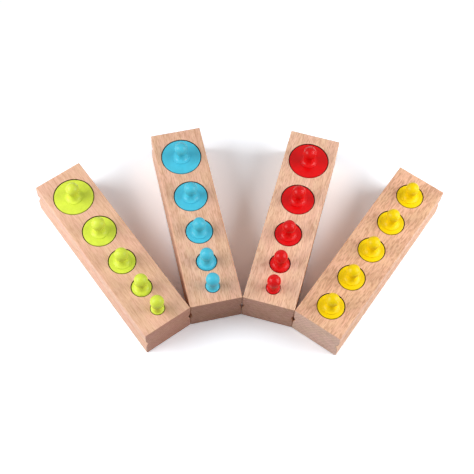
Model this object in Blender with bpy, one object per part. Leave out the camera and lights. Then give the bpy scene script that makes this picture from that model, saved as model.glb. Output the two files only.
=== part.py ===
"""Knobbed cylinder blocks: four beech blocks fanned out on a table, five painted cylinders in each.

Every cylinder stands loose in its own blind bore and is lifted out by the turned knob that is glued
into its top. The green, blue and red cylinders step down in diameter from the far end to the near
end, and the yellow ones are all as wide as the middle one of those. Their heights differ as well.

Frame: metres, +Z up, origin on the table under the centre of the fan, +X to the right of a person
who sits at the near ends, +Y away from that person.
"""

import math

import bmesh
import bpy
from mathutils import Vector

MM = 0.001

# Block
BLOCK_WIDTH = 50.0 * MM
BLOCK_HEIGHT = 41.0 * MM
BORE_WALL = 9.05 * MM       # wood between two bores
END_WALL = 10.0 * MM        # wood between the first or last bore and the end of the block
BLOCK_EASE = 0.6 * MM       # sanded outer edges
GROOVE_DEPTH = 2.2 * MM     # finger groove along both long sides
GROOVE_MOUTH = 12.0 * MM
GROOVE_HEIGHT = 20.5 * MM   # from the table to the bottom of the V

# Cylinders and their bores
WIDEST = 38.1 * MM
NARROWEST = 12.3 * MM
TALLEST = 30.0 * MM
SHORTEST = 10.0 * MM
CYLINDERS_PER_BLOCK = 5
CYLINDER_EASE = 0.5 * MM
BORE_CLEARANCE = 0.9 * MM   # all round a cylinder
BORE_EASE = 0.4 * MM        # broken edge at the bore's mouth
SEAT_GAP = 0.3 * MM         # under a cylinder, and wherever else one piece sits on another
TOP_DROP = 0.2 * MM         # a cylinder's top below the top of the block

# Knobs
KNOB_HEIGHT = 21.5 * MM
HEAD_DIAMETER = 13.0 * MM
HEAD_RISE = 6.5 * MM        # from the widest place of the head to its top
HEAD_DROP = 9.0 * MM        # from there to where its lower half would close
NECK_DIAMETER = 8.0 * MM
SKIRT_DIAMETER = 17.0 * MM
SKIRT_RIM = 0.8 * MM
SKIRT_MARGIN = 0.6 * MM     # least width of flat top left round a skirt
TENON_DIAMETER = 6.0 * MM
TENON_LENGTH = 7.0 * MM
GLUE_GAP = 0.3 * MM

# Fan
CORNER_GAP = 0.3 * MM       # between the near corners of neighbours

# Facets
FACET_DEPTH = 0.16 * MM     # how far a flat may lie inside its circle
LEAST_SIDES = 16
SIDES_STEP = 4              # a turned body has a multiple of this many sides
KNOB_SIDES = 14
HEAD_ROWS = 3               # rows in each half of a head
COVE_ROWS = 2
OVERRUN = 1.0 * MM          # how far a cutter stands out of what it cuts
MERGE_DISTANCE = 0.01 * MM
SQUARE_EDGE = math.radians(60)  # edges that turn by more than this are eased

WOOD = (0.80, 0.56, 0.40)
WOOD_ROUGHNESS = 0.55
PAINT_ROUGHNESS = 0.22

# name, paint, turn to the right of straight ahead in degrees, whether the diameter steps down
# towards the near end, and whether the height steps down (-1), stays (0) or steps up (+1)
BLOCKS = (
    ("green", (0.62, 0.84, 0.05), -39.7, True, +1),
    ("blue", (0.06, 0.54, 0.71), -16.6, True, -1),
    ("red", (0.74, 0.01, 0.01), 11.5, True, 0),
    ("yellow", (1.00, 0.75, 0.00), 31.2, False, -1),
)


def clear_scene():
    for thing in list(bpy.data.objects):
        bpy.data.objects.remove(thing, do_unlink=True)


def finish(name, colour, roughness):
    material = bpy.data.materials.new(name)
    material.use_nodes = True
    shader = material.node_tree.nodes["Principled BSDF"]
    shader.inputs["Base Color"].default_value = (*colour, 1.0)
    shader.inputs["Roughness"].default_value = roughness
    shader.inputs["Metallic"].default_value = 0.0
    material.diffuse_color = (*colour, 1.0)
    return material


def add_object(name, mesh_data, material=None, parent=None, location=(0.0, 0.0, 0.0)):
    mesh = bpy.data.meshes.new(name)
    mesh_data.to_mesh(mesh)
    mesh_data.free()
    thing = bpy.data.objects.new(name, mesh)
    bpy.context.scene.collection.objects.link(thing)
    thing.parent = parent
    thing.location = location
    if material:
        mesh.materials.append(material)
    return thing


def stepped(first, last, share):
    return first + (last - first) * share


# Sizes of the five cylinders of a block, number 1 at the far end

def cylinder_diameters(steps_down):
    if not steps_down:
        return [(WIDEST + NARROWEST) / 2] * CYLINDERS_PER_BLOCK
    last = CYLINDERS_PER_BLOCK - 1
    return [stepped(WIDEST, NARROWEST, i / last) for i in range(CYLINDERS_PER_BLOCK)]


def cylinder_heights(trend):
    first = SHORTEST if trend > 0 else TALLEST
    final = SHORTEST if trend < 0 else TALLEST
    last = CYLINDERS_PER_BLOCK - 1
    return [stepped(first, final, i / last) for i in range(CYLINDERS_PER_BLOCK)]


def bore_diameter(diameter):
    return diameter + 2 * BORE_CLEARANCE


def bore_depth(height):
    return TOP_DROP + height + SEAT_GAP


def walls(diameters):
    """Wood before, between and after the bores, from the far end to the near end."""
    return [END_WALL] + [BORE_WALL for _ in diameters[1:]] + [END_WALL]


def block_length(diameters):
    return sum(walls(diameters)) + sum(bore_diameter(diameter) for diameter in diameters)


def bore_places(diameters):
    """Distance of each bore's axis from the near end of the block."""
    places = []
    reach = block_length(diameters)
    for wall, diameter in zip(walls(diameters), diameters):
        reach -= wall + bore_diameter(diameter) / 2
        places.append(reach)
        reach -= bore_diameter(diameter) / 2
    return places


# Turned shapes

def sides_of(diameter):
    """Sides that keep the flats within the facet depth."""
    half_turn = math.acos(1 - FACET_DEPTH / (diameter / 2))
    return max(LEAST_SIDES, SIDES_STEP * math.ceil(math.pi / half_turn / SIDES_STEP))


def turned(outline, sides):
    """Closed body spun about Z from (radius, height) points that run from the axis to the axis."""
    body = bmesh.new()
    points = [body.verts.new((radius, 0.0, height)) for radius, height in outline]
    edges = [body.edges.new(pair) for pair in zip(points, points[1:])]
    bmesh.ops.spin(
        body, geom=points + edges, axis=(0, 0, 1), cent=(0, 0, 0),
        angle=2 * math.pi, steps=sides, use_merge=True,
    )
    bmesh.ops.remove_doubles(body, verts=body.verts, dist=MERGE_DISTANCE)
    bmesh.ops.recalc_face_normals(body, faces=body.faces)
    for face in body.faces:
        face.smooth = True
    return body


def elliptic_arc(centre, half_width, half_height, start, end, rows):
    """Points on an ellipse, angles in degrees from +radius towards +height, both ends included."""
    points = []
    for row in range(rows + 1):
        angle = math.radians(stepped(start, end, row / rows))
        radius = centre[0] + half_width * math.cos(angle)
        points.append((radius, centre[1] + half_height * math.sin(angle)))
    return points


# Block

def block_outline():
    """Cross-section of a block, seen from its near end: a rectangle with a V in each side."""
    side = BLOCK_WIDTH / 2
    apex = side - GROOVE_DEPTH
    low = GROOVE_HEIGHT - GROOVE_MOUTH / 2
    high = GROOVE_HEIGHT + GROOVE_MOUTH / 2
    right = [(side, 0.0), (side, low), (apex, GROOVE_HEIGHT), (side, high), (side, BLOCK_HEIGHT)]
    return right + [(-x, z) for x, z in reversed(right)]


def block_body(length):
    """The outline drawn out along +Y, with every square edge eased."""
    body = bmesh.new()
    corners = [body.verts.new((x, 0.0, z)) for x, z in block_outline()]
    near_end = body.faces.new(corners)
    drawn = bmesh.ops.extrude_face_region(body, geom=[near_end])
    far_corners = [item for item in drawn["geom"] if isinstance(item, bmesh.types.BMVert)]
    bmesh.ops.translate(body, verts=far_corners, vec=(0.0, length, 0.0))
    bmesh.ops.recalc_face_normals(body, faces=body.faces)
    square = [edge for edge in body.edges if edge.calc_face_angle() > SQUARE_EDGE]
    bmesh.ops.bevel(body, geom=square, offset=BLOCK_EASE, segments=1, affect="EDGES")
    return body


def bore_cutter(diameter, height):
    """Bore with a broken edge at its mouth, its floor at the cutter's lower end."""
    radius = bore_diameter(diameter) / 2
    mouth = bore_depth(height)
    flare = BORE_EASE + OVERRUN
    outline = [
        (0.0, 0.0),
        (radius, 0.0),
        (radius, mouth - BORE_EASE),
        (radius + flare, mouth + OVERRUN),
        (0.0, mouth + OVERRUN),
    ]
    return turned(outline, sides_of(bore_diameter(diameter)))


def add_block(name, diameters, heights, place, turn, wood):
    block = add_object(name + "_block", block_body(block_length(diameters)), wood)
    block.location = (place.x, place.y, 0.0)
    block.rotation_euler = (0.0, 0.0, -turn)
    for number, (diameter, height, along) in enumerate(
            zip(diameters, heights, bore_places(diameters)), start=1):
        cutter = add_object(
            f"{name}_bore_cutter_{number}", bore_cutter(diameter, height), parent=block,
            location=(0.0, along, BLOCK_HEIGHT - bore_depth(height)),
        )
        cutter.hide_render = True
        cutter.display_type = "WIRE"
        cut = block.modifiers.new(f"bore {number}", "BOOLEAN")
        cut.operation = "DIFFERENCE"
        cut.solver = "EXACT"
        cut.object = cutter
    return block


# Cylinder

def cylinder_body(diameter, height):
    """Cylinder with eased edges and a socket for the knob's tenon, its foot at Z = 0."""
    radius = diameter / 2
    socket = TENON_DIAMETER / 2 + GLUE_GAP
    socket_floor = height - TENON_LENGTH - GLUE_GAP
    outline = [
        (0.0, 0.0),
        (radius - CYLINDER_EASE, 0.0),
        (radius, CYLINDER_EASE),
        (radius, height - CYLINDER_EASE),
        (radius - CYLINDER_EASE, height),
        (socket, height),
        (socket, socket_floor),
        (0.0, socket_floor),
    ]
    return turned(outline, sides_of(diameter))


# Knob

def knob_outline(diameter):
    """Tenon, skirt, cove, neck and egg-shaped head, with Z = 0 at the top of the cylinder."""
    tenon = TENON_DIAMETER / 2
    skirt = min(SKIRT_DIAMETER, diameter - 2 * SKIRT_MARGIN) / 2
    neck = NECK_DIAMETER / 2
    head = HEAD_DIAMETER / 2
    widest = KNOB_HEIGHT - HEAD_RISE
    meeting = math.degrees(math.acos(neck / head))
    neck_top = widest - HEAD_DROP * math.sin(math.radians(meeting))
    rim_top = SEAT_GAP + SKIRT_RIM
    cove = elliptic_arc((skirt, neck_top), neck - skirt, rim_top - neck_top, 90, 0, COVE_ROWS)
    lower_head = elliptic_arc((0.0, widest), head, HEAD_DROP, -meeting, 0, HEAD_ROWS)
    upper_head = elliptic_arc((0.0, widest), head, HEAD_RISE, 0, 90, HEAD_ROWS)
    foot = [(0.0, -TENON_LENGTH), (tenon, -TENON_LENGTH), (tenon, SEAT_GAP), (skirt, SEAT_GAP)]
    return foot + cove + lower_head[1:] + upper_head[1:-1] + [(0.0, KNOB_HEIGHT)]


def knob_body(diameter):
    return turned(knob_outline(diameter), KNOB_SIDES)


def add_cylinders(name, block, diameters, heights, paint):
    for number, (diameter, height, along) in enumerate(
            zip(diameters, heights, bore_places(diameters)), start=1):
        top = BLOCK_HEIGHT - TOP_DROP
        cylinder = add_object(
            f"{name}_cylinder_{number}", cylinder_body(diameter, height), paint, block,
            (0.0, along, top - height),
        )
        add_object(
            f"{name}_knob_{number}", knob_body(diameter), paint, cylinder, (0.0, 0.0, height),
        )


# Fan

def along_and_across(turn):
    """Unit vectors along a block, away from its near end, and across it to the right."""
    along = Vector((math.sin(turn), math.cos(turn)))
    return along, Vector((along.y, -along.x))


def side_corner(place, turn, side):
    """Foremost point of a block's long side, where the eased near corner begins."""
    along, across = along_and_across(turn)
    return place + across * (side * BLOCK_WIDTH / 2) + along * BLOCK_EASE


def fan_places(turns):
    """Near-end centres that set each block's near corner against its neighbour's."""
    places = [Vector((0.0, 0.0))]
    for left, right in zip(turns, turns[1:]):
        corner = side_corner(places[-1], left, +1)
        _, across = along_and_across((left + right) / 2)
        corner += across * CORNER_GAP
        places.append(corner - side_corner(Vector((0.0, 0.0)), right, -1))
    return places


def plan_corners(place, turn, length):
    """Corners of a block seen from above, with their eases."""
    along, across = along_and_across(turn)
    half = BLOCK_WIDTH / 2
    corners = []
    for side in (-1, +1):
        for inset, reach in ((BLOCK_EASE, 0.0), (0.0, BLOCK_EASE)):
            for distance in (reach, length - reach):
                corners.append(place + across * side * (half - inset) + along * distance)
    return corners


def centred(places, turns, lengths):
    """The same places, moved so that the fan's box is centred on the origin."""
    corners = []
    for place, turn, length in zip(places, turns, lengths):
        corners += plan_corners(place, turn, length)
    middle = Vector((
        (min(c.x for c in corners) + max(c.x for c in corners)) / 2,
        (min(c.y for c in corners) + max(c.y for c in corners)) / 2,
    ))
    return [place - middle for place in places]


def build():
    clear_scene()
    turns = [math.radians(turn) for _, _, turn, _, _ in BLOCKS]
    diameters = [cylinder_diameters(steps_down) for _, _, _, steps_down, _ in BLOCKS]
    lengths = [block_length(row) for row in diameters]
    places = centred(fan_places(turns), turns, lengths)
    for (name, colour, _, _, trend), turn, row, place in zip(BLOCKS, turns, diameters, places):
        heights = cylinder_heights(trend)
        wood = finish(name + "_block_beech", WOOD, WOOD_ROUGHNESS)
        block = add_block(name, row, heights, place, turn, wood)
        paint = finish(name + "_paint", colour, PAINT_ROUGHNESS)
        add_cylinders(name, block, row, heights, paint)


build()
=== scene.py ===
"""The looks of the knobbed cylinder blocks: beech blocks, painted cylinders and knobs, floor, light, camera.

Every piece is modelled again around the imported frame, with round edges and fine facets. A block is made
in its own frame: X across it, Y along the grain from the near end, Z up from the table. Cylinders and
knobs are turned about their own axes and set into their block's frame.
"""

import math
import random

import bmesh
import bpy
from mathutils import Matrix, Vector


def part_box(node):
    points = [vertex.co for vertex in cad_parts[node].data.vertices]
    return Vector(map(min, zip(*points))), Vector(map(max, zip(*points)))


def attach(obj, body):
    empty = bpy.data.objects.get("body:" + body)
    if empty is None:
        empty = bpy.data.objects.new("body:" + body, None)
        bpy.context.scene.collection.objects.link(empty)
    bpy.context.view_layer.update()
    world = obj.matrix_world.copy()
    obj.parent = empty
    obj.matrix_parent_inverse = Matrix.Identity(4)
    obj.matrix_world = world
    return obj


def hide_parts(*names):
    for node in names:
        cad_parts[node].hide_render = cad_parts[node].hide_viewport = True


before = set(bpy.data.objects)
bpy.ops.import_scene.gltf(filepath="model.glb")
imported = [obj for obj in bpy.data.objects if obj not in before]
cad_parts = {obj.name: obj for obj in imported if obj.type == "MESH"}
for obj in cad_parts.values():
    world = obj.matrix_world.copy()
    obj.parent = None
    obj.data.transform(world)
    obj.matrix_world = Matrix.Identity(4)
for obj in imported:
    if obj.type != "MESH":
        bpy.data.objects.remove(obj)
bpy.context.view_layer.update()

MM = 0.001

# Camera: it looks along +Y and down, and is rolled a little. Where it aims, a pixel of the photo is 1 mm
PHOTO_WIDTH = 474
FOCAL_PIXELS = 1113.2
SENSOR = 36.0
ELEVATION = math.radians(62.945)
ROLL = math.radians(4.0)
AIM = Vector((-0.45, 12.72, 0.0)) * MM
DISTANCE = FOCAL_PIXELS * MM

# Light: one softbox on each side, and a dim white room
LAMP_REACH = 600 * MM
LAMP_RISE = 400 * MM
LAMP_SIZE = 560 * MM
LEFT_LAMP_ALONG = -140 * MM
RIGHT_LAMP_ALONG = -10 * MM
LEFT_LAMP_WATTS = 5.25
RIGHT_LAMP_WATTS = 4.5
ROOM_LIGHT = 0.20               # strength of what the room sheds on the object
ROOM_SEEN = 1.0                 # strength of what the camera sees of it, which is white

# Floor
FLOOR_WIDTH = 8000 * MM
FLOOR_BOUNCE = 0.43             # how pale the floor is for the light that it sheds on the object
FLOOR_SEEN = 1.32               # how pale the camera sees it: above 1, so that the lit floor is white
FLOOR_TINT = (0.97, 1.01, 1.06)
FLOOR_GRAIN = (2.5 * MM, 2.5 * MM, 2.5 * MM)
FLOOR_UNEVEN = 0.015
FADE_START = 280 * MM           # from here outwards the floor turns to the white of the backdrop
FADE_END = 430 * MM

# Blocks
CYLINDERS_PER_BLOCK = 5
BLOCK_EASE = 0.8 * MM
EASE_STEPS = 3
GROOVE_DEPTH = 2.2 * MM
GROOVE_MOUTH = 12.0 * MM
GROOVE_HEIGHT = 20.5 * MM
GROOVE_EASE = 0.3 * MM
GROOVE_EASE_STEPS = 2
GROOVE_FOLD = math.radians(10)  # an edge of the bar that folds more than this belongs to a groove
CORNER_FOLD = math.radians(60)  # unless it folds more than this, as the bar's corners do
BORE_CLEARANCE = 0.9 * MM
SEAT_GAP = 0.3 * MM
BORE_EASE = 0.15 * MM
BORE_TURN = math.radians(75)    # how far the round at a bore's mouth turns
BORE_FLARE = 0.9 * BORE_EASE    # how much wider the drill is above the block's top
BORE_OVERRUN = 1.0 * MM         # how far the drill reaches above it
BORE_SIDES = 96
BORE_INSET = 3.0 * MM           # no bore comes this near to an outer face, and no groove goes this deep

# Cylinders and knobs
CYLINDER_EASE = 0.25 * MM
CYLINDER_SIDES = 96
KNOB_SIDES = 48
HEAD_DIAMETER = 13.0 * MM
HEAD_RISE = 6.5 * MM
HEAD_DROP = 9.0 * MM
HEAD_ROWS = 14
NECK_DIAMETER = 8.0 * MM
COVE_ROWS = 10
SKIRT_RIM = 0.8 * MM
SKIRT_FOOT_EASE = 0.15 * MM
SKIRT_TOP_EASE = 0.35 * MM
SHOULDER_INSET = 1.0 * MM       # where the cove begins, in from the skirt's rim and above it
SHOULDER_RISE = 0.3 * MM
TENON_DIAMETER = 6.0 * MM
TENON_LENGTH = 7.0 * MM
GLUE_GAP = 0.3 * MM

# Meshes
ON_AXIS = 1e-7                  # a point of a turned outline nearer to the axis than this lies on it
SMOOTH_ANGLE = math.radians(35)

# Beech. The size of a texture is in mm across, along and through the grain
LOG_SIZE = 400                  # mm within which each block has its own place in the log
WANDER_SIZE = (45, 160, 45)
STREAK_SIZE = (4.5, 90, 4.5)
FIBRE_SIZE = (0.8, 16, 0.8)
MOTTLE_SIZE = (12, 22, 12)
PATCH_SIZE = (9, 30, 9)
PORE_SIZE = (0.22, 2.6, 0.22)
RAY_SIZE = (0.62, 6.0, 12)      # round the growth rings, along the grain, and out from the pith
RING_SPACING = 3.4              # mm
RING_SWING = 14.0               # mm within which the rings wander
PITH_DEPTH = 420                # mm from the block's foot to the middle of the rings, along their tilt
RING_RISE = (0.35, 0.90)        # the share of a year over which a ring darkens
RING_DROP = (0.90, 1.0)         # and over which it ends
RING_DEPTH = 0.10               # how much rings, streaks and fibres darken the wood
STREAK_DEPTH = 0.45
FIBRE_DEPTH = 0.95
DEPTH_SHIFT = 0.205             # taken off their sum, so that its middle lies near the middle tone
TONES = (
    (0.25, (0.88, 0.60, 0.415)),
    (0.55, (0.79, 0.495, 0.33)),
    (0.85, (0.62, 0.345, 0.215)),
)
MOTTLE_RANGE = (0.35, 0.65)     # the mottle goes from the pink cast to the straw one
PINK_CAST = (1.0, 0.97, 1.0)
STRAW_CAST = (0.97, 0.99, 0.94)
RAY_RANGE = (0.45, 0.68)
PATCH_RANGE = (0.22, 0.52)
PATCH_LEAST = 0.65              # the share of the flecks that is left where they are weakest
FLECK_COLOUR = (0.58, 0.30, 0.185)
PORE_RANGE = (0.62, 0.74)
PORE_STRENGTH = 0.30
PORE_COLOUR = (0.42, 0.21, 0.12)
END_RANGE = (0.6, 0.95)         # how squarely a face looks along the grain, from side grain to end grain
STRIPE_TINT = (0.70, 0.62, 0.58)
# Painted shade in the bores, which deepens the dark ring round each cylinder: a darker tint on their walls
# and floors, and a much darker one near their mouths
BORE_WALL_SHADE = (0.66, 0.56, 0.50)
BORE_MOUTH_SHADE = (0.10, 0.07, 0.055)
MOUTH_SHADE_START = 3.0 * MM          # below the block's top: the painted shade at a bore's mouth is darkest down to here
MOUTH_SHADE_END = 6.5 * MM            # and from here down only the wall's lighter painted shade remains
WOOD_SPECULAR = 0.20
WOOD_ROUGHNESS = (0.40, 0.54)
FIBRE_RANGE = (0.3, 0.7)
FIBRE_RELIEF = 0.7
PORE_RELIEF = -0.6
WOOD_BUMP = 0.35
WOOD_BUMP_HEIGHT = 0.10 * MM

# Paint. The size of a texture is in mm along X, Y and Z
WAVER_SIZE = (4, 4, 4)
PEEL_SIZE = (1.3, 1.3, 1.3)
COVER_SIZE = (7, 7, 7)
GRAIN_SIZE = (0.5, 0.5, 9)
LATHE_WAVE = 5.2                # radians of the lathe's marks for each mm of its feed
COVER_SHARE = 0.6               # how much cover and grain make the coat thick or thin
GRAIN_SHARE = 0.4
THICKNESS_RANGE = (0.38, 0.62)
THIN_TINT = 0.90
PAINT_SPECULAR = 0.20
PEEL_RANGE = (0.3, 0.7)
SMOOTHER = 0.04                 # how far the roughness goes below and above the paint's own
ROUGHER = 0.05
LATHE_RELIEF = 0.12
PEEL_RELIEF = 0.5
GRAIN_RELIEF = 0.35
PAINT_BUMP = 0.25
PAINT_BUMP_HEIGHT = 0.06 * MM

# Sockets of a colour Mix node, by number because its socket names repeat
MIX_SHARE = 0
MIX_FIRST = 6
MIX_SECOND = 7
MIX_RESULT = 2

# Each block's paint and how rough it is; the tints of its wood and of its sawn ends, where the ends' tint is
# darker end grain and also painted light and shade, lighter on some blocks' ends and darker on others; how
# far its growth rings are tilted, in degrees; and how strongly its flecks and the stripes on its ends show
BLOCKS = {
    "green": dict(
        seed=3,
        coat=dict(colour=(0.67, 0.79, 0.065), roughness=0.25),
        wood=dict(tint=(0.99, 0.95, 1.00), end_grain_and_shade=(0.70, 0.55, 0.53), tilt=40, flecks=0.45, stripes=0.20),
    ),
    "blue": dict(
        seed=11,
        coat=dict(colour=(0.075, 0.56, 0.75), roughness=0.19),
        wood=dict(tint=(1.03, 1.00, 1.04), end_grain_and_shade=(0.62, 0.50, 0.48), tilt=35, flecks=0.72, stripes=0.10),
    ),
    "red": dict(
        seed=23,
        coat=dict(colour=(0.76, 0.003, 0.004), roughness=0.22),
        wood=dict(tint=(1.11, 1.13, 1.20), end_grain_and_shade=(0.75, 0.63, 0.64), tilt=40, flecks=0.65, stripes=0.25),
    ),
    "yellow": dict(
        seed=37,
        coat=dict(colour=(0.96, 0.68, 0.0), roughness=0.30),
        wood=dict(tint=(1.05, 0.99, 0.97), end_grain_and_shade=(1.01, 1.12, 1.34), tilt=62, flecks=0.85, stripes=0.20),
    ),
}


# Reading the frame

def points_of(node):
    return [vertex.co.copy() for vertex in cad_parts[node].data.vertices]


def axis_of(node):
    low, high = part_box(node)
    return (low + high) / 2


def radius_of(node):
    axis = axis_of(node)
    return max((point.xy - axis.xy).length for point in points_of(node))


class Block:
    """Where a block lies and how large it is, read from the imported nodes."""

    def __init__(self, name):
        numbers = range(1, CYLINDERS_PER_BLOCK + 1)
        self.name = name
        self.node = name + "_block"
        self.cylinders = [f"{name}_cylinder_{number}" for number in numbers]
        self.knobs = [f"{name}_knob_{number}" for number in numbers]
        far, near = axis_of(self.cylinders[0]), axis_of(self.cylinders[-1])
        along = (far - near).xy.normalized()
        across = Vector((along.y, -along.x))
        corners = points_of(self.node)
        lengthwise = [corner.xy.dot(along) for corner in corners]
        sideways = [corner.xy.dot(across) for corner in corners]
        self.length = max(lengthwise) - min(lengthwise)
        self.width = max(sideways) - min(sideways)
        self.height = max(corner.z for corner in corners)
        origin = along * min(lengthwise) + across * (max(sideways) + min(sideways)) / 2
        self.matrix = Matrix((
            (across.x, along.x, 0.0, origin.x),
            (across.y, along.y, 0.0, origin.y),
            (0.0, 0.0, 1.0, 0.0),
            (0.0, 0.0, 0.0, 1.0),
        ))

    def place(self, node):
        """A node's axis in the block's own frame, at the node's foot."""
        low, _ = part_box(node)
        axis = axis_of(node)
        return self.matrix.inverted() @ Vector((axis.x, axis.y, low.z))


# Meshes

def rounded(corners):
    """Outline through (radius, height, ease) corners, each cut by an arc of its own radius."""
    outline = []
    for i, (x, z, ease) in enumerate(corners):
        here = Vector((x, z))
        if not ease:
            outline.append(here)
            continue
        before = (Vector(corners[i - 1][:2]) - here).normalized()
        after = (Vector(corners[i + 1][:2]) - here).normalized()
        half = before.angle(after) / 2
        centre = here + (before + after).normalized() * (ease / math.sin(half))
        first = here + before * (ease / math.tan(half)) - centre
        last = here + after * (ease / math.tan(half)) - centre
        turn = first.angle_signed(last)
        for step in range(EASE_STEPS + 1):
            arm = first.copy()
            arm.rotate(Matrix.Rotation(-turn * step / EASE_STEPS, 2))
            outline.append(centre + arm)
    return outline


def elliptic_arc(centre, half_width, half_height, start, end, rows):
    """Points on an ellipse, angles in degrees from +radius towards +height, both ends included."""
    points = []
    for row in range(rows + 1):
        angle = math.radians(start + (end - start) * (row / rows))
        points.append(Vector((
            centre[0] + half_width * math.cos(angle),
            centre[1] + half_height * math.sin(angle),
        )))
    return points


def lathe(outline, sides):
    """Closed mesh turned about Z from an outline that starts and ends on the axis."""
    verts = []
    rings = []
    for point in outline:
        if point[0] < ON_AXIS:
            rings.append([len(verts)])
            verts.append((0.0, 0.0, point[1]))
            continue
        rings.append(list(range(len(verts), len(verts) + sides)))
        for side in range(sides):
            angle = 2 * math.pi * side / sides
            verts.append((point[0] * math.cos(angle), point[0] * math.sin(angle), point[1]))
    faces = []
    for low, high in zip(rings, rings[1:]):
        for side in range(sides):
            after = (side + 1) % sides
            corners = [low[side % len(low)], low[after % len(low)]]
            corners += [high[after % len(high)], high[side % len(high)]]
            faces.append(list(dict.fromkeys(corners)))
    mesh = bpy.data.meshes.new("turned")
    mesh.from_pydata(verts, [], faces)
    mesh.update()
    return mesh


def add_piece(name, mesh, place, material, body, node):
    """A piece that stands for a CAD node: it rides on that node's body, and the node is hidden."""
    mesh.name = name
    mesh.shade_smooth()
    mesh.set_sharp_from_angle(angle=SMOOTH_ANGLE)
    mesh.materials.append(material)
    piece = bpy.data.objects.new(name, mesh)
    bpy.context.scene.collection.objects.link(piece)
    piece.matrix_world = place
    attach(piece, body)
    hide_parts(node)
    return piece


# Block

def bar_mesh(block):
    """The block without its bores: a rectangle with a V in each side, drawn out along the grain."""
    side = block.width / 2
    apex = side - GROOVE_DEPTH
    low = GROOVE_HEIGHT - GROOVE_MOUTH / 2
    high = GROOVE_HEIGHT + GROOVE_MOUTH / 2
    right = [(side, 0.0), (side, low), (apex, GROOVE_HEIGHT), (side, high), (side, block.height)]
    outline = right + [(-x, z) for x, z in reversed(right)]
    bar = bmesh.new()
    end = bar.faces.new([bar.verts.new((x, 0.0, z)) for x, z in outline])
    drawn = bmesh.ops.extrude_face_region(bar, geom=[end])
    far = [item for item in drawn["geom"] if isinstance(item, bmesh.types.BMVert)]
    bmesh.ops.translate(bar, verts=far, vec=(0.0, block.length, 0.0))
    bmesh.ops.recalc_face_normals(bar, faces=bar.faces)
    corners = [edge for edge in bar.edges if edge.calc_face_angle() > CORNER_FOLD]
    grooves = [edge for edge in bar.edges if GROOVE_FOLD < edge.calc_face_angle() < CORNER_FOLD]
    ease_edges(bar, corners, BLOCK_EASE, EASE_STEPS)
    ease_edges(bar, [edge for edge in grooves if edge.is_valid], GROOVE_EASE, GROOVE_EASE_STEPS)
    mesh = bpy.data.meshes.new("bar")
    bar.to_mesh(mesh)
    bar.free()
    return mesh


def ease_edges(bar, edges, ease, steps):
    bmesh.ops.bevel(bar, geom=edges, offset=ease, segments=steps, profile=0.5, affect="EDGES")


def bore_mesh(radius, depth):
    """What a drill takes out, with its mouth broken by a small round."""
    outline = [Vector((0.0, 0.0)), Vector((radius, 0.0)), Vector((radius, depth - BORE_EASE))]
    for step in range(1, EASE_STEPS + 1):
        angle = BORE_TURN * step / EASE_STEPS
        outline.append(Vector((
            radius + BORE_EASE * (1 - math.cos(angle)),
            depth - BORE_EASE + BORE_EASE * math.sin(angle),
        )))
    outline.append(Vector((radius + BORE_EASE + BORE_FLARE, depth + BORE_OVERRUN)))
    outline.append(Vector((0.0, depth + BORE_OVERRUN)))
    return lathe(outline, BORE_SIDES)


def add_block(block, material):
    """The bar, with a bore cut out of it round each cylinder."""
    bar = bpy.data.objects.new("bar", bar_mesh(block))
    bpy.context.scene.collection.objects.link(bar)
    cutters = []
    for node in block.cylinders:
        foot = block.place(node)
        floor = foot.z - SEAT_GAP
        drill = bore_mesh(radius_of(node) + BORE_CLEARANCE, block.height - floor)
        cutter = bpy.data.objects.new("bore", drill)
        bpy.context.scene.collection.objects.link(cutter)
        cutter.location = (foot.x, foot.y, floor)
        cut = bar.modifiers.new("bore", "BOOLEAN")
        cut.operation = "DIFFERENCE"
        cut.solver = "EXACT"
        cut.object = cutter
        cutters.append(cutter)
    bpy.context.view_layer.update()
    graph = bpy.context.evaluated_depsgraph_get()
    mesh = bpy.data.meshes.new_from_object(bar.evaluated_get(graph))
    for thing in [bar, *cutters]:
        bpy.data.objects.remove(thing)
    piece = add_piece(block.node + "_wood", mesh, block.matrix, material, block.node, block.node)
    flatten = piece.modifiers.new("flat faces", "WEIGHTED_NORMAL")
    flatten.keep_sharp = True


# Cylinders and knobs

def cylinder_mesh(radius, height):
    """A round-edged cylinder with a socket for the knob's tenon in its top."""
    socket = TENON_DIAMETER / 2 + GLUE_GAP
    socket_floor = height - TENON_LENGTH - GLUE_GAP
    return lathe(rounded([
        (0.0, 0.0, 0.0),
        (radius, 0.0, CYLINDER_EASE),
        (radius, height, CYLINDER_EASE),
        (socket, height, 0.0),
        (socket, socket_floor, 0.0),
        (0.0, socket_floor, 0.0),
    ]), CYLINDER_SIDES)


def knob_mesh(skirt, height):
    """Tenon, skirt, cove, neck and egg-shaped head, with Z = 0 at the top of the cylinder."""
    tenon = TENON_DIAMETER / 2
    neck = NECK_DIAMETER / 2
    head = HEAD_DIAMETER / 2
    widest = height - HEAD_RISE
    meeting = math.degrees(math.acos(neck / head))
    neck_top = widest - HEAD_DROP * math.sin(math.radians(meeting))
    shoulder = Vector((skirt - SHOULDER_INSET, SKIRT_RIM + SHOULDER_RISE))
    foot = rounded([
        (0.0, -TENON_LENGTH, 0.0),
        (tenon, -TENON_LENGTH, 0.0),
        (tenon, 0.0, 0.0),
        (skirt, 0.0, SKIRT_FOOT_EASE),
        (skirt, SKIRT_RIM, SKIRT_TOP_EASE),
        (*shoulder, 0.0),
    ])[:-1]
    rim = foot[-1]
    cove = elliptic_arc((rim.x, neck_top), neck - rim.x, rim.y - neck_top, 90, 0, COVE_ROWS)
    lower_head = elliptic_arc((0.0, widest), head, HEAD_DROP, -meeting, 0, HEAD_ROWS)
    upper_head = elliptic_arc((0.0, widest), head, HEAD_RISE, 0, 90, HEAD_ROWS)
    outline = foot + cove[1:] + lower_head[1:] + upper_head[1:-1] + [Vector((0.0, height))]
    return lathe(outline, KNOB_SIDES)


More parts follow.
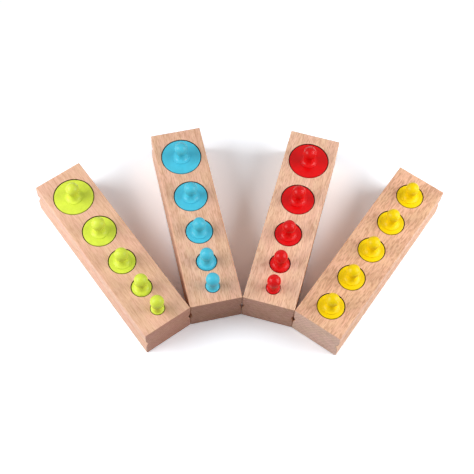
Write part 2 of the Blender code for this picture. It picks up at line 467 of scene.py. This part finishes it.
def add_cylinders(block, material, seed):
    """Each cylinder with its knob, both turned by chance so that no two show the same side."""
    chance = random.Random(seed)
    for cylinder, knob in zip(block.cylinders, block.knobs):
        low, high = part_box(cylinder)
        height = high.z - low.z
        turn = Matrix.Rotation(chance.uniform(0, 2 * math.pi), 4, "Z")
        foot = block.matrix @ Matrix.Translation(block.place(cylinder))
        top = foot @ Matrix.Translation((0.0, 0.0, height))
        mesh = cylinder_mesh(radius_of(cylinder), height)
        add_piece(cylinder + "_painted", mesh, foot @ turn, material, cylinder, cylinder)
        mesh = knob_mesh(radius_of(knob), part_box(knob)[1].z - high.z)
        add_piece(knob + "_painted", mesh, top @ turn, material, cylinder, knob)


# Nodes of a material

def add_node(tree, kind, inputs=None, **settings):
    """A shader node. An input takes a number, a colour or another node's output."""
    node = tree.nodes.new(kind)
    for name, value in settings.items():
        setattr(node, name, value)
    for name, value in (inputs or {}).items():
        if isinstance(value, bpy.types.NodeSocket):
            tree.links.new(value, node.inputs[name])
        else:
            node.inputs[name].default_value = value
    return node


def new_material(name):
    material = bpy.data.materials.new(name)
    material.use_nodes = True
    tree = material.node_tree
    return material, tree, tree.nodes["Principled BSDF"]


def maths(tree, operation, first, second=0.0, third=0.0):
    return add_node(tree, "ShaderNodeMath", {0: first, 1: second, 2: third}, operation=operation).outputs[0]


def plus(tree, first, second):
    return maths(tree, "ADD", first, second)


def times(tree, first, second):
    return maths(tree, "MULTIPLY", first, second)


def length_of(tree, vector):
    return add_node(tree, "ShaderNodeVectorMath", {0: vector}, operation="LENGTH").outputs["Value"]


def split(tree, vector):
    """The X, Y and Z of a vector."""
    return add_node(tree, "ShaderNodeSeparateXYZ", {0: vector}).outputs


def ramp_between(tree, value, low, high, to_low=0.0, to_high=1.0):
    inputs = {"Value": value, "From Min": low, "From Max": high, "To Min": to_low, "To Max": to_high}
    return add_node(tree, "ShaderNodeMapRange", inputs, interpolation_type="SMOOTHSTEP").outputs["Result"]


def noise(tree, place, size, detail=2.0, roughness=0.5):
    """Noise drawn out to a size in each direction."""
    scale = tuple(1 / length for length in size)
    drawn = add_node(tree, "ShaderNodeVectorMath", {0: place, 1: scale}, operation="MULTIPLY").outputs[0]
    inputs = {"Vector": drawn, "Scale": 1.0, "Detail": detail, "Roughness": roughness}
    return add_node(tree, "ShaderNodeTexNoise", inputs).outputs[0]


def in_millimetres(tree, shift=(0.0, 0.0, 0.0)):
    """The place on a piece, in mm from its own origin."""
    local = add_node(tree, "ShaderNodeTexCoord").outputs["Object"]
    scaled = add_node(tree, "ShaderNodeVectorMath", {0: local, "Scale": 1 / MM}, operation="SCALE").outputs[0]
    return add_node(tree, "ShaderNodeVectorMath", {0: scaled, 1: shift}, operation="ADD").outputs[0]


def opaque(colour):
    return (*colour, 1.0)


def product(first, second):
    return tuple(a * b for a, b in zip(first, second))


def mixed(tree, share, first, second, blend_type="MIX"):
    inputs = {MIX_SHARE: share, MIX_FIRST: first, MIX_SECOND: second}
    node = add_node(tree, "ShaderNodeMix", inputs, data_type="RGBA", blend_type=blend_type)
    return node.outputs[MIX_RESULT]


def tinted(tree, colour, tint, share=1.0):
    return mixed(tree, share, colour, tint, "MULTIPLY")


def toned(tree, value, tones):
    """A colour that goes through the tones, each at its place along the value."""
    node = add_node(tree, "ShaderNodeValToRGB", {0: value})
    elements = node.color_ramp.elements
    elements.remove(elements[-1])
    (place, colour), *others = tones
    elements[0].position = place
    elements[0].color = opaque(colour)
    for place, colour in others:
        elements.new(place).color = opaque(colour)
    return node.outputs[0]


def add_bump(tree, shader, relief, strength, height):
    bump = add_node(tree, "ShaderNodeBump", {"Strength": strength, "Distance": height, "Height": relief})
    tree.links.new(bump.outputs[0], shader.inputs["Normal"])


def seen_directly(tree):
    """1 for what the camera sees, also in a gloss or through glass, and 0 for light shed on the object."""
    path = add_node(tree, "ShaderNodeLightPath").outputs
    seen = maths(tree, "MAXIMUM", path["Is Camera Ray"], path["Is Glossy Ray"])
    return maths(tree, "MAXIMUM", seen, path["Is Transmission Ray"])


# Beech

def growth_rings(tree, turned, place):
    """How dark each ring is, from 0 in its early wood to 1 in its late wood, round the distant pith."""
    wander = maths(tree, "SUBTRACT", noise(tree, place, WANDER_SIZE), 0.5)
    parts = split(tree, turned)
    height = plus(tree, plus(tree, parts["Z"], PITH_DEPTH), times(tree, wander, RING_SWING))
    arm = add_node(tree, "ShaderNodeCombineXYZ", {"X": parts["X"], "Z": height}).outputs[0]
    year = maths(tree, "FRACT", maths(tree, "DIVIDE", length_of(tree, arm), RING_SPACING))
    rise = ramp_between(tree, year, *RING_RISE)
    drop = ramp_between(tree, year, *RING_DROP, 1.0, 0.0)
    return times(tree, rise, drop)


def inside(tree, block):
    """1 on the walls and floors of the bores, which lie well inside the block's outer faces: where painted
    shade is laid.
    """
    parts = split(tree, in_millimetres(tree))
    side = (block.width / 2 - BORE_INSET) / MM
    limits = [
        maths(tree, "LESS_THAN", maths(tree, "ABSOLUTE", parts["X"]), side),
        maths(tree, "GREATER_THAN", parts["Y"], BORE_INSET / MM),
        maths(tree, "LESS_THAN", parts["Y"], (block.length - BORE_INSET) / MM),
        maths(tree, "GREATER_THAN", parts["Z"], BORE_INSET / MM),
    ]
    share = maths(tree, "LESS_THAN", parts["Z"], (block.height - BORE_EASE) / MM)
    for limit in limits:
        share = times(tree, share, limit)
    return share


def bore_painted_shade(tree, block):
    """Painted shade for a bore's wall: a darker tint all down it, and a much darker one near the block's top.
    """
    level = split(tree, in_millimetres(tree))["Z"]
    low, high = block.height - MOUTH_SHADE_END, block.height - MOUTH_SHADE_START
    mouth_shade = ramp_between(tree, level, low / MM, high / MM)
    return mixed(tree, mouth_shade, opaque(BORE_WALL_SHADE), opaque(BORE_MOUTH_SHADE))


def end_grain(tree):
    """1 on faces that look along the grain, and 0 on the others."""
    normal = add_node(tree, "ShaderNodeTexCoord").outputs["Normal"]
    return ramp_between(tree, maths(tree, "ABSOLUTE", split(tree, normal)["Y"]), *END_RANGE)


def beech(name, block, seed, tint, end_grain_and_shade, tilt, flecks, stripes):
    """Steamed beech as a solid texture: growth rings round the pith, streaks and fibres along the
    grain, and rays, which are dashes on the top, patches on the sides and lines on the ends."""
    material, tree, shader = new_material(name)
    chance = random.Random(seed)
    place = in_millimetres(tree, [chance.uniform(0, LOG_SIZE) for _ in range(3)])
    turned = add_node(
        tree, "ShaderNodeVectorRotate", {"Vector": in_millimetres(tree), "Angle": math.radians(tilt)},
        rotation_type="Y_AXIS",
    ).outputs[0]

    ring = growth_rings(tree, turned, place)
    streak = noise(tree, place, STREAK_SIZE, detail=3.0)
    fibre = noise(tree, place, FIBRE_SIZE, detail=4.0, roughness=0.65)
    depth = times(tree, ring, RING_DEPTH)
    depth = plus(tree, depth, times(tree, streak, STREAK_DEPTH))
    depth = plus(tree, depth, times(tree, fibre, FIBRE_DEPTH))
    depth = maths(tree, "SUBTRACT", depth, DEPTH_SHIFT)
    mottle = ramp_between(tree, noise(tree, place, MOTTLE_SIZE, detail=3.0), *MOTTLE_RANGE)
    cast = mixed(tree, mottle, opaque(product(tint, PINK_CAST)), opaque(product(tint, STRAW_CAST)))
    colour = tinted(tree, toned(tree, depth, TONES), cast)

    rays = ramp_between(tree, noise(tree, turned, RAY_SIZE, detail=1.0), *RAY_RANGE)
    patches = ramp_between(tree, noise(tree, place, PATCH_SIZE), *PATCH_RANGE, PATCH_LEAST, 1.0)
    fleck = times(tree, rays, patches)
    colour = mixed(tree, times(tree, fleck, flecks), colour, opaque(FLECK_COLOUR))
    pores = ramp_between(tree, noise(tree, place, PORE_SIZE, detail=1.0), *PORE_RANGE)
    colour = mixed(tree, times(tree, pores, PORE_STRENGTH), colour, opaque(PORE_COLOUR))

    # The ends' tint is darker end grain together with painted light and shade, which differs from block to
    # block
    cut_end = tinted(tree, colour, opaque(end_grain_and_shade))
    cut_end = tinted(tree, cut_end, opaque(STRIPE_TINT), times(tree, ring, stripes))
    colour = mixed(tree, end_grain(tree), colour, cut_end)
    # Painted shade in the bores, darkest at their mouths
    shaded_bores = tinted(tree, colour, bore_painted_shade(tree, block))
    colour = mixed(tree, inside(tree, block), colour, shaded_bores)

    tree.links.new(colour, shader.inputs["Base Color"])
    tree.links.new(ramp_between(tree, fibre, *FIBRE_RANGE, *WOOD_ROUGHNESS), shader.inputs["Roughness"])
    shader.inputs["Specular IOR Level"].default_value = WOOD_SPECULAR
    relief = plus(tree, times(tree, fibre, FIBRE_RELIEF), times(tree, pores, PORE_RELIEF))
    add_bump(tree, shader, relief, WOOD_BUMP, WOOD_BUMP_HEIGHT)
    return material


# Paint

def lathe_marks(tree, place):
    """Fine rings that follow the tool across a turned piece and up its side."""
    parts = split(tree, place)
    flat = add_node(tree, "ShaderNodeCombineXYZ", {"X": parts["X"], "Y": parts["Y"]}).outputs[0]
    feed = plus(tree, length_of(tree, flat), parts["Z"])
    waver = noise(tree, place, WAVER_SIZE)
    return maths(tree, "SINE", plus(tree, times(tree, feed, LATHE_WAVE), waver))


def paint(name, colour, roughness):
    """Glossy paint over turned wood: faint rings of the lathe, a little orange peel, uneven cover."""
    material, tree, shader = new_material(name)
    place = in_millimetres(tree)
    peel = noise(tree, place, PEEL_SIZE)
    cover = noise(tree, place, COVER_SIZE, detail=3.0)
    grain = noise(tree, place, GRAIN_SIZE, detail=3.0)
    thickness = plus(tree, times(tree, cover, COVER_SHARE), times(tree, grain, GRAIN_SHARE))
    thickness = ramp_between(tree, thickness, *THICKNESS_RANGE)
    thin = tuple(THIN_TINT * c for c in colour)
    tree.links.new(mixed(tree, thickness, opaque(thin), opaque(colour)), shader.inputs["Base Color"])
    uneven = ramp_between(tree, peel, *PEEL_RANGE, roughness - SMOOTHER, roughness + ROUGHER)
    tree.links.new(uneven, shader.inputs["Roughness"])
    shader.inputs["Specular IOR Level"].default_value = PAINT_SPECULAR
    relief = plus(tree, times(tree, lathe_marks(tree, place), LATHE_RELIEF), times(tree, peel, PEEL_RELIEF))
    relief = plus(tree, relief, times(tree, grain, GRAIN_RELIEF))
    add_bump(tree, shader, relief, PAINT_BUMP, PAINT_BUMP_HEIGHT)
    return material


# Stage

def floor_material():
    """White floor that keeps its shadows. Seen directly or in a gloss it is about three times as pale as
    for the light that it sheds on the blocks, and further out it turns to plain white."""
    material, tree, shader = new_material("floor")
    tree.nodes.remove(shader)
    seen = seen_directly(tree)
    place = add_node(tree, "ShaderNodeNewGeometry").outputs["Position"]
    grain = noise(tree, place, FLOOR_GRAIN)
    level = maths(tree, "MULTIPLY_ADD", seen, FLOOR_SEEN - FLOOR_BOUNCE, FLOOR_BOUNCE)
    level = times(tree, level, ramp_between(tree, grain, 0.0, 1.0, 1 - FLOOR_UNEVEN, 1 + FLOOR_UNEVEN))
    channels = [times(tree, level, share) for share in FLOOR_TINT]
    colour = add_node(tree, "ShaderNodeCombineColor", dict(enumerate(channels))).outputs[0]
    matte = add_node(tree, "ShaderNodeBsdfDiffuse", {"Color": colour}).outputs[0]
    white = add_node(tree, "ShaderNodeEmission", {"Strength": 1.0}).outputs[0]
    fade = times(tree, ramp_between(tree, length_of(tree, place), FADE_START, FADE_END), seen)
    surface = add_node(tree, "ShaderNodeMixShader", {0: fade, 1: matte, 2: white}).outputs[0]
    tree.links.new(surface, tree.nodes["Material Output"].inputs["Surface"])
    return material


def add_floor():
    half = FLOOR_WIDTH / 2
    corners = [(-half, -half, 0), (half, -half, 0), (half, half, 0), (-half, half, 0)]
    mesh = bpy.data.meshes.new("floor")
    mesh.from_pydata(corners, [], [(0, 1, 2, 3)])
    mesh.materials.append(floor_material())
    floor = bpy.data.objects.new("floor", mesh)
    bpy.context.scene.collection.objects.link(floor)


def add_lamp(name, x, y, watts):
    """A square softbox, turned to the middle of the table straight across from it."""
    light = bpy.data.lights.new(name, "AREA")
    light.shape = "SQUARE"
    light.size = LAMP_SIZE
    light.energy = watts
    lamp = bpy.data.objects.new(name, light)
    bpy.context.scene.collection.objects.link(lamp)
    lamp.location = (x, y, LAMP_RISE)
    lamp.rotation_euler = Vector((x, 0.0, LAMP_RISE)).to_track_quat("Z", "Y").to_euler()


def add_room():
    world = bpy.data.worlds.new("room")
    bpy.context.scene.world = world
    world.use_nodes = True
    tree = world.node_tree
    strength = maths(tree, "MULTIPLY_ADD", seen_directly(tree), ROOM_SEEN - ROOM_LIGHT, ROOM_LIGHT)
    background = tree.nodes["Background"].inputs
    tree.links.new(strength, background["Strength"])
    background["Color"].default_value = (1.0, 1.0, 1.0, 1.0)


def add_camera():
    forward = Vector((0.0, math.cos(ELEVATION), -math.sin(ELEVATION)))
    level = Vector((1.0, 0.0, 0.0))
    upright = Vector((0.0, math.sin(ELEVATION), math.cos(ELEVATION)))
    right = level * math.cos(ROLL) + upright * math.sin(ROLL)
    up = upright * math.cos(ROLL) - level * math.sin(ROLL)
    camera = bpy.data.objects.new("camera", bpy.data.cameras.new("camera"))
    bpy.context.scene.collection.objects.link(camera)
    camera.data.sensor_width = SENSOR
    camera.data.lens = SENSOR * FOCAL_PIXELS / PHOTO_WIDTH
    turn = Matrix((right, up, -forward)).transposed().to_4x4()
    camera.matrix_world = Matrix.Translation(AIM - forward * DISTANCE) @ turn
    bpy.context.scene.camera = camera


def build():
    for name, looks in BLOCKS.items():
        block = Block(name)
        add_block(block, beech(name + "_beech", block, looks["seed"], **looks["wood"]))
        add_cylinders(block, paint(name + "_paint_coat", **looks["coat"]), looks["seed"])
    add_floor()
    add_lamp("left_softbox", -LAMP_REACH, LEFT_LAMP_ALONG, LEFT_LAMP_WATTS)
    add_lamp("right_softbox", LAMP_REACH, RIGHT_LAMP_ALONG, RIGHT_LAMP_WATTS)
    add_room()
    add_camera()
    bpy.context.scene.view_settings.view_transform = "Standard"


build()
